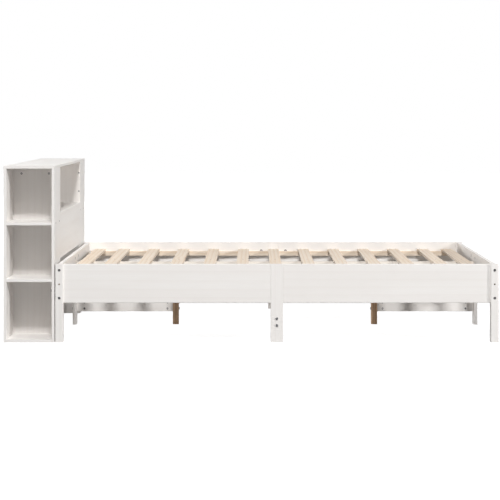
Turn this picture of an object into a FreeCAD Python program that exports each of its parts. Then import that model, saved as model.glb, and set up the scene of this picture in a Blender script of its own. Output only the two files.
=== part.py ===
import FreeCAD, Part
import math
import os
import Sketcher

Vector = FreeCAD.Vector

# A single bed with a bookcase for a headboard, in painted and natural pine.
# +X runs from the headboard to the foot, +Z is up, and the origin lies on the
# floor under the middle of the whole piece. "left" is the -Y side.

doc = FreeCAD.newDocument("BookcaseBed")

# ---- driving sizes, in millimetres ----

driving_sizes = [
    ("mattressLength", 2000, "clear length between the head and foot rails"),
    ("mattressWidth", 1200, "clear width between the side rails"),
    ("bedHeight", 362, "floor to the top of the rails and legs"),
    ("railHeight", 180, "height of every rail"),
    ("railThickness", 18, "thickness of rails, stretchers and middle legs"),
    ("legWidth", 36, "side of a square corner leg"),
    ("middleLegWidth", 58, "width of the flat legs in the middle of each side"),
    ("stretcherHeight", 60, "height of the low stretchers"),
    ("stretcherFloorGap", 64, "floor to the underside of the stretchers"),
    ("beamWidth", 30, "width of the beam under the middle of the slats"),
    ("beamHeight", 60, "height of that beam"),
    ("centreLegWidth", 30, "side of a square leg under the beam"),
    ("centreLegSpread", 1000, "from the middle of one centre leg to the other"),
    ("cleatWidth", 17, "how far a cleat stands in from its rail"),
    ("cleatHeight", 24, "height of a cleat"),
    ("slatWidth", 58, "width of a slat"),
    ("slatThickness", 12, "thickness of a slat"),
    ("slatCount", 13, "number of slats"),
    ("mattressSink", 36, "how far the slats lie below the rail tops"),
    ("endSlatGap", 30, "gap between an end rail and the slat beside it"),
    ("endSlatPitch", 131, "from the middle of an end slat to the next slat's"),
    ("slatEndClearance", 2, "gap between a slat's end and the side rail"),
    ("bookcaseDepth", 235, "depth of the bookcase"),
    ("bookcaseGap", 4, "gap between the bookcase and the head legs"),
    ("boardThickness", 13, "thickness of every bookcase board"),
    ("towerWidth", 215, "width of a shelf tower, with its divider"),
    ("bottomCubbyHeight", 267, "clear height of a tower's bottom cubby"),
    ("cubbyHeight", 249.5, "clear height of the two cubbies above it"),
    ("nicheFloorHeight", 591, "floor to the top of the niche's floor board"),
    ("headPanelBottom", 370, "floor to the underside of the panel below the niche"),
    ("timberEdge", 1.5, "chamfer along the long edges of the bed's timbers"),
    ("boardEdge", 0.8, "chamfer along the long edges of the bookcase boards"),
    ("boltShank", 6, "diameter of a bolt"),
    ("boltLength", 52, "bolt length under its head"),
    ("boltHeadAcross", 11, "across the flats of a bolt's head"),
    ("boltHeadHeight", 4, "height of a bolt's head"),
    ("boltClearance", 0.25, "gap around a bolt in its bore"),
    ("counterboreDiameter", 13.5, "recess for a bolt head in a corner leg"),
    ("counterboreDepth", 12, "depth of that recess"),
    ("nutDiameter", 10, "diameter of a barrel nut"),
    ("nutLength", 14, "length of a barrel nut"),
    ("nutClearance", 0.15, "gap around a barrel nut in its bore"),
    ("upperBoltInset", 28.5, "rail top down to an end rail's upper bolt"),
    ("lowerBoltInset", 22.5, "rail underside up to its lower bolt"),
    ("sideBoltDrop", 30, "how far a side rail's bolt lies below the dowel beside it"),
    ("stretcherBoltRise", 14.5, "underside of a stretcher up to its bolt"),
    ("dowelDiameter", 8, "diameter of a wooden dowel"),
    ("dowelLength", 60, "length of a wooden dowel"),
    ("dowelRecess", 8, "how deep a dowel's end lies in the leg"),
    ("dowelClearance", 0.1, "gap around a dowel in its bore"),
    ("spacerDiameter", 16, "diameter of the spacers that hold the bookcase off the legs"),
]

sheet = doc.addObject("Spreadsheet::Sheet", "Sizes")
for row, (alias, size, meaning) in enumerate(driving_sizes, start=1):
    sheet.set(f"A{row}", meaning)
    sheet.set(f"B{row}", str(size))
    sheet.setAlias(f"B{row}", alias)
doc.recompute()


def number(expression):
    """The value of an expression, in millimetres."""
    return float(sheet.evalExpression(expression))


# ---- places that several pieces share ----

bed_middle = "((Sizes.bookcaseDepth + Sizes.bookcaseGap) / 2)"
stand_off = "((Sizes.legWidth - Sizes.railThickness) / 2)"
rail_in_x = "(Sizes.mattressLength / 2)"
rail_in_y = "(Sizes.mattressWidth / 2)"
rail_out_x = f"({rail_in_x} + Sizes.railThickness)"
rail_out_y = f"({rail_in_y} + Sizes.railThickness)"
leg_out_x = f"({rail_out_x} + {stand_off})"
leg_out_y = f"({rail_out_y} + {stand_off})"
leg_in_x = f"({leg_out_x} - Sizes.legWidth)"
leg_in_y = f"({leg_out_y} - Sizes.legWidth)"
rail_middle_x = f"({rail_in_x} + Sizes.railThickness / 2)"
rail_middle_y = f"({rail_in_y} + Sizes.railThickness / 2)"
half_middle_leg = "(Sizes.middleLegWidth / 2)"
rail_bottom = "(Sizes.bedHeight - Sizes.railHeight)"
deck_top = "(Sizes.bedHeight - Sizes.mattressSink)"
cleat_top = f"({deck_top} - Sizes.slatThickness)"
beam_bottom = f"({cleat_top} - Sizes.beamHeight)"

end_rail_bolts = [
    "(Sizes.bedHeight - Sizes.upperBoltInset)",
    f"({rail_bottom} + Sizes.lowerBoltInset)",
]
dowel_level = f"(({end_rail_bolts[0]} + {end_rail_bolts[1]}) / 2)"
side_rail_bolt = f"({dowel_level} - Sizes.sideBoltDrop)"
stretcher_bolt = "(Sizes.stretcherFloorGap + Sizes.stretcherBoltRise)"

bookcase_front = f"({bed_middle} - {leg_out_x} - Sizes.bookcaseGap)"
bookcase_back = f"({bookcase_front} - Sizes.bookcaseDepth)"
bookcase_height = (
    "(4 * Sizes.boardThickness + Sizes.bottomCubbyHeight + 2 * Sizes.cubbyHeight)"
)
top_underside = f"({bookcase_height} - Sizes.boardThickness)"
niche_half = f"({leg_out_y} - Sizes.towerWidth)"
tower_inside = f"({niche_half} + Sizes.boardThickness)"

bolt_bore = "(Sizes.boltShank + 2 * Sizes.boltClearance)"
nut_bore = "(Sizes.nutDiameter + 2 * Sizes.nutClearance)"
dowel_bore = "(Sizes.dowelDiameter + 2 * Sizes.dowelClearance)"
bookcase_bolt_length = (
    "(Sizes.boltLength + Sizes.counterboreDepth + Sizes.boardThickness + Sizes.bookcaseGap)"
)

sides = [("left", -1), ("right", 1)]
ends = [("head", -1), ("foot", 1)]


def low_x(sign, inner, outer):
    """Least X of a piece that lies between two distances from the bed's middle."""
    return f"({bed_middle} + {inner})" if sign > 0 else f"({bed_middle} - {outer})"


def low_y(sign, inner, outer):
    """Least Y of a piece that lies between two distances from the centre line."""
    return inner if sign > 0 else f"(-{outer})"


def at_x(sign, distance):
    return f"({bed_middle} + {sign} * {distance})"


def at_y(sign, distance):
    return f"({sign} * {distance})"


def outward(sign):
    """Which face of a piece looks away from the bed's middle."""
    return "high" if sign > 0 else "low"


def inward(sign):
    return "low" if sign > 0 else "high"


# ---- boards and posts ----

axes = {"X": 0, "Y": 1, "Z": 2}
section_planes = {"X": "YZ_Plane", "Y": "XZ_Plane", "Z": "XY_Plane"}
section_axes = {"X": (1, 2), "Y": (0, 2), "Z": (0, 1)}
bodies = {}
low_corners = {}
extents = {}


def plane_sketch(body, name, axis):
    """A sketch on the body's own origin plane across one axis."""
    features = body.Origin.OriginFeatures
    plane = [f for f in features if f.Role == section_planes[axis]][0]
    sketch = body.newObject("Sketcher::SketchObject", name)
    sketch.AttachmentSupport = [(plane, "")]
    sketch.MapMode = "FlatFace"
    return sketch


def bind(sketch, constraint, expression):
    """Add a dimension whose value follows an expression."""
    index = sketch.addConstraint(constraint)
    sketch.setExpression(f"Constraints[{index}]", expression)


def rectangle(sketch, width, height):
    """A rectangle with one corner on the sketch's origin."""
    w = number(width)
    h = number(height)
    corners = [Vector(0, 0), Vector(w, 0), Vector(w, h), Vector(0, h)]
    for i in range(4):
        sketch.addGeometry(Part.LineSegment(corners[i], corners[(i + 1) % 4]))
    for i in range(4):
        joined = Sketcher.Constraint("Coincident", i, 2, (i + 1) % 4, 1)
        sketch.addConstraint(joined)
    for i in (0, 2):
        sketch.addConstraint(Sketcher.Constraint("Horizontal", i))
    for i in (1, 3):
        sketch.addConstraint(Sketcher.Constraint("Vertical", i))
    sketch.addConstraint(Sketcher.Constraint("Coincident", 0, 1, -1, 1))
    bind(sketch, Sketcher.Constraint("DistanceX", 0, 1, 0, 2, w), width)
    bind(sketch, Sketcher.Constraint("DistanceY", 1, 1, 1, 2, h), height)


def chamfer_long_edges(body, pad, label, along, size):
    """Ease the four edges that run along the grain."""
    long_edges = []
    for i, line in enumerate(pad.Shape.Edges, start=1):
        direction = line.tangentAt(line.FirstParameter)
        if abs(direction[along]) > 0.99:
            long_edges.append(f"Edge{i}")
    chamfer = body.newObject("PartDesign::Chamfer", label + "_edges")
    chamfer.Base = (pad, long_edges)
    chamfer.setExpression("Size", size)
    body.Tip = chamfer


def timber(label, low, extent, grain, edge=None):
    """A straight piece of timber: its section padded along the grain, with
    the four long edges chamfered unless no edge size is given."""
    body = doc.addObject("PartDesign::Body", label)
    body.Label = label
    across, up = section_axes[grain]
    section = plane_sketch(body, label + "_section", grain)
    rectangle(section, extent[across], extent[up])
    pad = body.newObject("PartDesign::Pad", label + "_pad")
    pad.Profile = section
    pad.Reversed = grain == "Y"
    pad.setExpression("Length", extent[axes[grain]])
    body.Tip = pad
    doc.recompute()
    if edge:
        chamfer_long_edges(body, pad, label, axes[grain], edge)
    for letter, expression in zip("xyz", low):
        body.setExpression(f"Placement.Base.{letter}", expression)
    bodies[label] = body
    low_corners[label] = low
    extents[label] = extent
    doc.recompute()


def circles(label, name, axis, side, places, diameter):
    """A sketch of round holes on the low or high face across an axis.
    The places are in the bed's own frame."""
    sketch = plane_sketch(bodies[label], f"{label}_{name}_places", axis)
    across, up = section_axes[axis]
    if side == "high":
        offset = extents[label][axes[axis]]
        turned = "-" if axis == "Y" else ""
        sketch.setExpression("AttachmentOffset.Base.z", turned + offset)
    for place in places:
        u = f"{place[0]} - {low_corners[label][across]}"
        v = f"{place[1]} - {low_corners[label][up]}"
        centre = Vector(number(u), number(v), 0)
        radius = number(diameter) / 2
        hole = sketch.addGeometry(Part.Circle(centre, Vector(0, 0, 1), radius))
        bind(sketch, Sketcher.Constraint("DistanceX", -1, 1, hole, 3, centre.x), u)
        bind(sketch, Sketcher.Constraint("DistanceY", -1, 1, hole, 3, centre.y), v)
        bind(sketch, Sketcher.Constraint("Diameter", hole, 2 * radius), diameter)
    return sketch


def cuts_backwards(axis, side):
    """Whether a cut from this face runs along the sketch's own normal."""
    return (side == "low") != (axis == "Y")


def bore(label, name, axis, side, places, diameter, depth=None):
    """Round holes from one face, to a depth or right through."""
    sketch = circles(label, name, axis, side, places, diameter)
    pocket = bodies[label].newObject("PartDesign::Pocket", f"{label}_{name}")
    pocket.Profile = sketch
    pocket.Reversed = cuts_backwards(axis, side)
    if depth is None:
        pocket.Type = "ThroughAll"
    else:
        pocket.setExpression("Length", depth)
    bodies[label].Tip = pocket
    doc.recompute()


def counterbore(label, name, axis, side, places):
    """Bolt holes right through, each with a recess for the bolt's head."""
    sketch = circles(label, name, axis, side, places, bolt_bore)
    hole = bodies[label].newObject("PartDesign::Hole", f"{label}_{name}")
    hole.Profile = sketch
    doc.recompute()
    hole.ThreadType = "None"
    hole.DepthType = "ThroughAll"
    hole.DrillPoint = "Flat"
    hole.HoleCutType = "Counterbore"
    hole.HoleCutCustomValues = True
    hole.Reversed = cuts_backwards(axis, side)
    hole.setExpression("Diameter", bolt_bore)
    hole.setExpression("HoleCutDiameter", "Sizes.counterboreDiameter")
    hole.setExpression("HoleCutDepth", "Sizes.counterboreDepth")
    bodies[label].Tip = hole
    doc.recompute()


# ---- bolts with barrel nuts ----

frame_bolt_seats = []
bookcase_bolt_seats = []
nut_places = []


def face(label, axis, side):
    """Where a timber's low or high face lies along an axis."""
    low = low_corners[label][axes[axis]]
    if side == "low":
        return low
    return f"({low} + {extents[label][axes[axis]]})"


def point(axis, along, u, v):
    """A point from its place along one axis and the two across it."""
    across, up = section_axes[axis]
    coordinates = [0, 0, 0]
    coordinates[axes[axis]] = number(along)
    coordinates[across] = number(u)
    coordinates[up] = number(v)
    return Vector(*coordinates)


def unit(axis, sign):
    """A step of one along an axis."""
    direction = Vector(0, 0, 0)
    direction[axes[axis]] = sign
    return direction


def nut_joint(held, name, axis, side, places, seat, length, nut_side):
    """Bolts of a length run from their seat into the end of `held`, where
    barrel nuts are let in from its `nut_side` face."""
    inwards = 1 if side == "low" else -1
    end_face = face(held, axis, side)
    gripped = f"({inwards} * ({end_face} - {seat}))"
    setback = f"({length} + {nut_bore} / 2 - {gripped})"
    bore(held, name + "_bores", axis, side, places, bolt_bore, setback)

    nut_axis = "Y" if axis == "X" else "X"
    nut_along = f"({end_face} + {inwards} * {setback})"
    nut_holes = [(nut_along, level) for _, level in places]
    nut_depth = f"({extents[held][axes[nut_axis]]} / 2 + Sizes.nutLength / 2)"
    bore(held, name + "_nuts", nut_axis, nut_side, nut_holes, nut_bore, nut_depth)
    for u, level in places:
        nut_places.append((point(axis, nut_along, u, level), unit(nut_axis, 1)))
    return [(point(axis, seat, u, level), unit(axis, inwards)) for u, level in places]


def recessed_joint(held, leg, name, axis, side, places, nut_side):
    """Bolts whose heads are sunk in a corner leg."""
    counterbore(leg, name, axis, side, places)
    inwards = 1 if side == "low" else -1
    seat = f"({face(leg, axis, side)} + {inwards} * Sizes.counterboreDepth)"
    seats = nut_joint(held, name, axis, side, places, seat, "Sizes.boltLength", nut_side)
    frame_bolt_seats.extend(seats)


def surface_joint(held, leg, name, axis, side, places, nut_side):
    """Bolts whose heads lie on the face of a thin middle leg."""
    bore(leg, name, axis, side, places, bolt_bore)
    seat = face(leg, axis, side)
    seats = nut_joint(held, name, axis, side, places, seat, "Sizes.boltLength", nut_side)
    frame_bolt_seats.extend(seats)


def bookcase_joint(held, leg, board, name, places, nut_side):
    """Longer bolts that also clamp a bookcase board to a head leg."""
    bore(board, name, "X", "low", places, bolt_bore)
    bore(leg, name, "X", "low", places, bolt_bore)
    seat = face(board, "X", "low")
    seats = nut_joint(held, name, "X", "low", places, seat, bookcase_bolt_length, nut_side)
    bookcase_bolt_seats.extend(seats)


# ---- the bed's legs and rails ----

timber_edge = "Sizes.timberEdge"
board_edge = "Sizes.boardEdge"
leg_size = ("Sizes.legWidth", "Sizes.legWidth", "Sizes.bedHeight")

for side_name, side in sides:
    for end_name, end in ends:
        corner = (low_x(end, leg_in_x, leg_out_x), low_y(side, leg_in_y, leg_out_y), "0")
        timber(f"{side_name}_{end_name}_leg", corner, leg_size, "Z", timber_edge)

for side_name, side in sides:
    corner = (
        f"({bed_middle} - {half_middle_leg})",
        low_y(side, rail_in_y, rail_out_y),
        "0",
    )
    size = ("Sizes.middleLegWidth", "Sizes.railThickness", "Sizes.bedHeight")
    timber(f"{side_name}_middle_leg", corner, size, "Z", timber_edge)

for end_name, end in ends:
    corner = (low_x(end, rail_in_x, rail_out_x), f"(-{half_middle_leg})", "0")
    size = ("Sizes.railThickness", "Sizes.middleLegWidth", "Sizes.bedHeight")
    timber(f"{end_name}_middle_leg", corner, size, "Z", timber_edge)

for side_name, side in sides:
    for end_name, end in ends:
        label = f"{side_name}_rail_{end_name}"
        corner = (
            low_x(end, half_middle_leg, leg_in_x),
            low_y(side, rail_in_y, rail_out_y),
            rail_bottom,
        )
        length = f"({leg_in_x} - {half_middle_leg})"
        timber(label, corner, (length, "Sizes.railThickness", "Sizes.railHeight"), "X", timber_edge)

for end_name, end in ends:
    for side_name, side in sides:
        label = f"{end_name}_rail_{side_name}"
        corner = (
            low_x(end, rail_in_x, rail_out_x),
            low_y(side, half_middle_leg, leg_in_y),
            rail_bottom,
        )
        length = f"({leg_in_y} - {half_middle_leg})"
        timber(label, corner, ("Sizes.railThickness", length, "Sizes.railHeight"), "Y", timber_edge)

# ---- what carries the slats ----

for side_name, side in sides:
    corner = (
        f"({bed_middle} - {leg_in_x})",
        low_y(side, f"({rail_in_y} - Sizes.cleatWidth)", rail_in_y),
        f"({cleat_top} - Sizes.cleatHeight)",
    )
    size = (f"(2 * {leg_in_x})", "Sizes.cleatWidth", "Sizes.cleatHeight")
    timber(f"{side_name}_cleat", corner, size, "X")

timber(
    "centre_beam",
    (f"({bed_middle} - {rail_in_x})", "(-Sizes.beamWidth / 2)", beam_bottom),
    ("Sizes.mattressLength", "Sizes.beamWidth", "Sizes.beamHeight"),
    "X",
)

centre_leg_in = "((Sizes.centreLegSpread - Sizes.centreLegWidth) / 2)"
centre_leg_out = "((Sizes.centreLegSpread + Sizes.centreLegWidth) / 2)"
for end_name, end in ends:
    corner = (
        low_x(end, centre_leg_in, centre_leg_out),
        "(-Sizes.centreLegWidth / 2)",
        "0",
    )
    size = ("Sizes.centreLegWidth", "Sizes.centreLegWidth", beam_bottom)
    timber(f"{end_name}_centre_leg", corner, size, "Z", timber_edge)

for end_name, end in ends:
    corner = (
        low_x(end, centre_leg_out, rail_in_x),
        "(-Sizes.railThickness / 2)",
        "Sizes.stretcherFloorGap",
    )
    length = f"({rail_in_x} - {centre_leg_out})"
    size = (length, "Sizes.railThickness", "Sizes.stretcherHeight")
    timber(f"{end_name}_stretcher", corner, size, "X", timber_edge)

timber(
    "cross_stretcher",
    (
        f"({bed_middle} - Sizes.railThickness / 2)",
        f"(-{rail_in_y})",
        "Sizes.stretcherFloorGap",
    ),
    ("Sizes.railThickness", "Sizes.mattressWidth", "Sizes.stretcherHeight"),
    "Y",
    timber_edge,
)

# ---- slats: the end ones lie closer to their neighbours than the rest ----

slat_count = int(number("Sizes.slatCount"))
end_slat = f"({rail_in_x} - Sizes.endSlatGap - Sizes.slatWidth / 2)"
inner_span = f"({end_slat} - Sizes.endSlatPitch)"
slat_length = f"(Sizes.mattressWidth - 2 * Sizes.slatEndClearance)"

for i in range(slat_count):
    if i == 0:
        middle = f"(-{end_slat})"
    elif i == slat_count - 1:
        middle = end_slat
    else:
        middle = f"({inner_span} * ({2 * (i - 1)} / (Sizes.slatCount - 3) - 1))"
    corner = (
        f"({bed_middle} + {middle} - Sizes.slatWidth / 2)",
        f"(-{slat_length} / 2)",
        cleat_top,
    )
    size = ("Sizes.slatWidth", slat_length, "Sizes.slatThickness")
    timber(f"slat_{i + 1:02d}", corner, size, "Y")

# ---- bookcase ----

board = "Sizes.boardThickness"
board_width = f"({leg_out_y} - {tower_inside})"
shelf_tops = [
    ("bottom_board", board),
    ("lower_shelf", f"(2 * {board} + Sizes.bottomCubbyHeight)"),
    ("upper_shelf", f"(3 * {board} + Sizes.bottomCubbyHeight + Sizes.cubbyHeight)"),
]

timber(
    "bookcase_top_board",
    (bookcase_back, f"(-{leg_out_y})", top_underside),
    ("Sizes.bookcaseDepth", f"(2 * {leg_out_y})", board),
    "Y",
    board_edge,
)

for side_name, side in sides:
    tower = f"{side_name}_tower"
    board_low = low_y(side, tower_inside, leg_out_y)
    upright = (board, board_width, top_underside)
    front = (f"({bookcase_front} - {board})", board_low, "0")
    timber(f"{tower}_front_board", front, upright, "Z", board_edge)
    timber(f"{tower}_back_board", (bookcase_back, board_low, "0"), upright, "Z", board_edge)
    timber(
        f"{tower}_divider",
        (bookcase_back, low_y(side, niche_half, tower_inside), "0"),
        ("Sizes.bookcaseDepth", board, top_underside),
        "Z",
        board_edge,
    )
    for shelf_name, shelf_top in shelf_tops:
        timber(
            f"{tower}_{shelf_name}",
            (f"({bookcase_back} + {board})", board_low, f"({shelf_top} - {board})"),
            (f"(Sizes.bookcaseDepth - 2 * {board})", board_width, board),
            "X",
        )

niche_low = f"(-{niche_half})"
niche_width = f"(2 * {niche_half})"
niche_floor_bottom = f"(Sizes.nicheFloorHeight - {board})"
timber(
    "niche_floor_board",
    (bookcase_back, niche_low, niche_floor_bottom),
    ("Sizes.bookcaseDepth", niche_width, board),
    "Y",
    board_edge,
)
timber(
    "niche_front_panel",
    (f"({bookcase_front} - {board})", niche_low, "Sizes.headPanelBottom"),
    (board, niche_width, f"({niche_floor_bottom} - Sizes.headPanelBottom)"),
    "Y",
    board_edge,
)
timber(
    "niche_back_panel",
    (bookcase_back, niche_low, "Sizes.nicheFloorHeight"),
    (board, niche_width, f"({top_underside} - Sizes.nicheFloorHeight)"),
    "Y",
    board_edge,
)

# ---- bolted joints ----

for side_name, side in sides:
    for end_name, end in ends:
        leg = f"{side_name}_{end_name}_leg"
        rail = f"{end_name}_rail_{side_name}"
        places = [(at_x(end, rail_middle_x), level) for level in end_rail_bolts]
        recessed_joint(rail, leg, "end_bolts", "Y", outward(side), places, inward(end))

    places = [(at_y(side, rail_middle_y), side_rail_bolt)]
    rail = f"{side_name}_rail_foot"
    recessed_joint(rail, f"{side_name}_foot_leg", "side_bolts", "X", "high", places, inward(side))
    rail = f"{side_name}_rail_head"
    tower_board = f"{side_name}_tower_front_board"
    bookcase_joint(rail, f"{side_name}_head_leg", tower_board, "bookcase_bolts", places, inward(side))

    places = [(bed_middle, stretcher_bolt)]
    leg = f"{side_name}_middle_leg"
    surface_joint("cross_stretcher", leg, f"{side_name}_bolts", "Y", outward(side), places, "low")

for end_name, end in ends:
    places = [("0", stretcher_bolt)]
    leg = f"{end_name}_middle_leg"
    surface_joint(f"{end_name}_stretcher", leg, "bolts", "X", outward(end), places, "low")

# ---- dowels between the corner legs and the end rails ----

dowel_reach = "(Sizes.dowelRecess + Sizes.dowelLength - Sizes.legWidth)"
dowel_starts = []
for side_name, side in sides:
    for end_name, end in ends:
        place = [(at_x(end, rail_middle_x), dowel_level)]
        leg = f"{side_name}_{end_name}_leg"
        bore(leg, "dowel_hole", "Y", outward(side), place, dowel_bore)
        rail = f"{end_name}_rail_{side_name}"
        bore(rail, "dowel_hole", "Y", outward(side), place, dowel_bore, dowel_reach)
        start = at_y(side, f"({leg_out_y} - Sizes.dowelRecess)")
        dowel_starts.append((point("Y", start, *place[0]), unit("Y", -side)))

# ---- fasteners: each kind is one group of equal solids ----


small_round_flats = 8


def prism(flats, radius, start, end):
    """A regular prism along +Z, for a small round or a hexagonal head."""
    corners = []
    for i in range(flats + 1):
        angle = math.radians(360 * i / flats)
        corners.append(Vector(radius * math.cos(angle), radius * math.sin(angle), start))
    return Part.Face(Part.makePolygon(corners)).extrude(Vector(0, 0, end - start))


def hex_bolt(length):
    """A bolt along +Z, seated under its head at the origin."""
    head_radius = number("Sizes.boltHeadAcross / sqrt(3)")
    head = prism(6, head_radius, -number("Sizes.boltHeadHeight"), 0)
    shank_radius = number("Sizes.boltShank / 2")
    shank = prism(small_round_flats, shank_radius, 0, number(length))
    return head.fuse(shank)


def barrel_nut():
    """A plain barrel across its middle."""
    half_length = number("Sizes.nutLength / 2")
    return prism(small_round_flats, number("Sizes.nutDiameter / 2"), -half_length, half_length)


def dowel():
    return prism(small_round_flats, number("Sizes.dowelDiameter / 2"), 0, number("Sizes.dowelLength"))


def spacer():
    """A ring around a bookcase bolt, between the board and the leg."""
    thickness = number("Sizes.bookcaseGap")
    ring = prism(small_round_flats, number("Sizes.spacerDiameter / 2"), 0, thickness)
    return ring.cut(prism(small_round_flats, number(f"{bolt_bore} / 2"), 0, thickness))


def fastener_group(label, master, places):
    """Copies of one solid, each turned from +Z to its own direction."""
    copies = []
    for start, direction in places:
        copy = master.copy()
        turn = FreeCAD.Rotation(Vector(0, 0, 1), direction)
        copy.Placement = FreeCAD.Placement(start, turn)
        copies.append(copy)
    group = doc.addObject("Part::Feature", label)
    group.Label = label
    group.Shape = Part.makeCompound(copies)
    bodies[label] = group


spacer_places = []
for side_name, side in sides:
    place = (at_y(side, rail_middle_y), side_rail_bolt)
    spacer_places.append((point("X", bookcase_front, *place), unit("X", 1)))

fastener_group("frame_bolts", hex_bolt("Sizes.boltLength"), frame_bolt_seats)
fastener_group("bookcase_bolts", hex_bolt(bookcase_bolt_length), bookcase_bolt_seats)
fastener_group("bookcase_spacers", spacer(), spacer_places)
fastener_group("barrel_nuts", barrel_nut(), nut_places)
fastener_group("corner_dowels", dowel(), dowel_starts)

# ---- checks, then one file for each piece ----

doc.recompute()
for thing in doc.Objects:
    if "Invalid" in thing.State or "Error" in thing.State:
        raise RuntimeError(f"{thing.Label} failed to recompute: {thing.State}")
    if thing.TypeId in ("PartDesign::Pocket", "PartDesign::Hole"):
        if thing.Shape.Volume >= thing.BaseFeature.Shape.Volume - 1:
            raise RuntimeError(f"{thing.Label} cuts nothing")

for label, piece in bodies.items():
    if piece.Shape.isNull() or not piece.Shape.isValid():
        raise RuntimeError(f"{label} has no valid shape")

os.makedirs("parts", exist_ok=True)
whole = FreeCAD.BoundBox()
for label, piece in bodies.items():
    piece.Shape.exportStep(f"parts/{label}.step")
    whole.add(piece.Shape.BoundBox)
print(f"{len(bodies)} pieces, {whole.XLength:.1f} x {whole.YLength:.1f} x {whole.ZLength:.1f} mm")
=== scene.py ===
import bpy
from math import radians, tau
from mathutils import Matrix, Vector


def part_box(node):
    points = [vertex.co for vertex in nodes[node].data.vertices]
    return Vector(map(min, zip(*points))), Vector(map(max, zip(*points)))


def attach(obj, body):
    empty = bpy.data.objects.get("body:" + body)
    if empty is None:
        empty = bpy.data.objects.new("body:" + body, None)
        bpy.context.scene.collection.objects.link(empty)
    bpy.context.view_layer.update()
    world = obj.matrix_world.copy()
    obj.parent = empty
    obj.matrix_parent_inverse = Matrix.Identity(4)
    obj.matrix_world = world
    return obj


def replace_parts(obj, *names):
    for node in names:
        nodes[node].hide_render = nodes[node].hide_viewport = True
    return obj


# Bookcase headboard bed: painted pine frame, bare pine slats, darkened centre legs.
# Metres. +X is the foot, -Y the side the camera looks at, Z is up from the floor.

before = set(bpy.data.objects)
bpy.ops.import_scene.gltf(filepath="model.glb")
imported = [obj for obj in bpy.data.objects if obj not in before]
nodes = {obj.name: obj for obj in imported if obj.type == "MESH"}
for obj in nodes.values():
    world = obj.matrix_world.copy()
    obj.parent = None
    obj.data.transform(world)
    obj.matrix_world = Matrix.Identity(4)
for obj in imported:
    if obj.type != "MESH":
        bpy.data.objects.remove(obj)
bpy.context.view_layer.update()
print("frame loaded,", len(nodes), "nodes")


def node(name):
    return nodes[name]


def setInput(shader, name, value):
    shader.inputs[name].default_value = value


def linear(red, green, blue):
    # a colour as it is read off a screen, made linear for the shader
    def channel(value):
        value = value / 255
        return value / 12.92 if value <= 0.04045 else ((value + 0.055) / 1.055) ** 2.4
    return (channel(red), channel(green), channel(blue), 1.0)


woodLooks = {
    "white paint": dict(
        base=linear(242, 239, 236), line=linear(231, 225, 220), fibre=linear(236, 232, 228),
        knot=linear(218, 194, 185), worn=linear(226, 212, 196), lineAmount=0.2, fibreAmount=0.4,
        knotAmount=0.75, toneAmount=0.45, tone=linear(235, 230, 226), wornAmount=0.5, roughLow=0.38,
        roughHigh=0.55, coat=0.12, bump=0.2, ringSpacing=0.026, knotSpacing=0.31, knotSize=0.027),
    "bare pine": dict(
        base=linear(244, 230, 213), line=linear(228, 202, 172), fibre=linear(238, 219, 197),
        knot=linear(146, 104, 72), worn=linear(248, 236, 220), lineAmount=0.55, fibreAmount=0.5,
        knotAmount=0.85, toneAmount=0.5, tone=linear(236, 214, 190), wornAmount=0.3, roughLow=0.52,
        roughHigh=0.72, coat=0.0, bump=0.3, ringSpacing=0.018, knotSpacing=0.36, knotSize=0.030),
    "darkened pine": dict(
        base=linear(190, 159, 130), line=linear(148, 116, 89), fibre=linear(166, 135, 107),
        knot=linear(98, 70, 51), worn=linear(198, 170, 140), lineAmount=0.7, fibreAmount=0.6,
        knotAmount=0.8, toneAmount=0.5, tone=linear(154, 125, 99), wornAmount=0.4, roughLow=0.55,
        roughHigh=0.75, coat=0.0, bump=0.3, ringSpacing=0.014, knotSpacing=0.22, knotSize=0.03),
    "dowel beech": dict(
        base=linear(178, 158, 134), line=linear(150, 128, 102), fibre=linear(162, 140, 114),
        knot=linear(150, 110, 76), worn=linear(150, 132, 110), lineAmount=0.5, fibreAmount=0.6,
        knotAmount=0.0, toneAmount=0.3, tone=linear(160, 138, 112), wornAmount=0.4, roughLow=0.55,
        roughHigh=0.7, coat=0.0, bump=0.2, ringSpacing=0.006, knotSpacing=0.5, knotSize=0.01),
}

# the centre leg at the foot gets a lighter copy of the darkened pine, painted light that makes up for the
# shade it falls in, and the beam a paler copy of the bare pine than the slats, painted light that lifts it
# in the shade under the slats
woodLooks["darkened pine with painted light"] = {
    **woodLooks["darkened pine"], "base": linear(228, 193, 160), "tone": linear(190, 155, 124),
    "line": linear(182, 144, 111), "fibre": linear(202, 166, 133), "knot": linear(126, 92, 67)}
woodLooks["pine with painted light"] = {
    **woodLooks["bare pine"], "base": linear(250, 243, 234), "tone": linear(244, 234, 222),
    "line": linear(240, 226, 210), "fibre": linear(246, 236, 224), "knot": linear(190, 156, 128)}


def addNode(tree, kind, place, **settings):
    made = tree.nodes.new(kind)
    made.location = place
    for name, value in settings.items():
        setattr(made, name, value)
    return made


def feed(tree, value, socket):
    if isinstance(value, bpy.types.NodeSocket):
        tree.links.new(value, socket)
    else:
        socket.default_value = value


def maths(tree, operation, first, second, place):
    made = addNode(tree, "ShaderNodeMath", place, operation=operation)
    feed(tree, first, made.inputs[0])
    feed(tree, second, made.inputs[1])
    return made.outputs[0]


def boardPlace(tree):
    # object coordinates with a shift of its own for every board, so that no two are cut alike
    texCoord = addNode(tree, "ShaderNodeTexCoord", (-2700, 100))
    objectInfo = addNode(tree, "ShaderNodeObjectInfo", (-2700, -200))
    shift = addNode(tree, "ShaderNodeVectorMath", (-2500, -200), operation="SCALE")
    shift.inputs[0].default_value = (17.3, 11.9, 7.7)
    tree.links.new(objectInfo.outputs["Random"], shift.inputs["Scale"])
    moved = addNode(tree, "ShaderNodeVectorMath", (-2300, 0), operation="ADD")
    tree.links.new(texCoord.outputs["Object"], moved.inputs[0])
    tree.links.new(shift.outputs[0], moved.inputs[1])
    return moved.outputs[0]


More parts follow.
